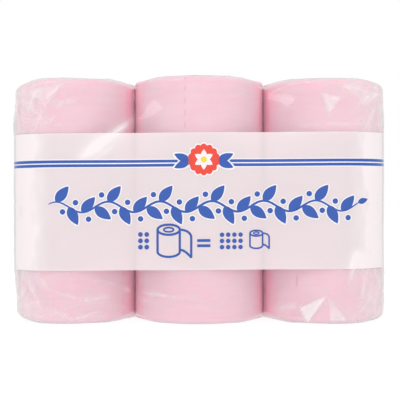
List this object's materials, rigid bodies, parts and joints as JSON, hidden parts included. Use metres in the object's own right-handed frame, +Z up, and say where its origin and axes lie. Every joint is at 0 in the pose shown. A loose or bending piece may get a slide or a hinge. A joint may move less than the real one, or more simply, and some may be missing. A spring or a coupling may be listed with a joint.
{
  "type": "toilet paper roll pack",
  "caption": "Film-wrapped pack of pink toilet paper rolls in upright columns, each roll wound on a cardboard core, with a printed band round the film.",
  "frame": {"origin": "centre of the pack's underside", "axes": "+X along the row of columns to the right as seen from the front, +Y to the back, +Z up"},
  "size_m": [0.3088, 0.1104, 0.1959],
  "materials": {
    "film": "thin clear polyethylene film with a printed band",
    "paper": "soft pink tissue paper, lightly crimped",
    "core_board": "spiral-wound grey-brown board"
  },
  "bodies": {
    "root": {"film_wrap": "film", "roll_lower_left": "paper", "roll_lower_middle": "paper", "roll_lower_right": "paper", "roll_upper_left": "paper", "roll_upper_middle": "paper", "roll_upper_right": "paper", "core_lower_left": "core_board", "core_lower_middle": "core_board", "core_lower_right": "core_board", "core_upper_left": "core_board", "core_upper_middle": "core_board", "core_upper_right": "core_board"}
  },
  "joints": []
}
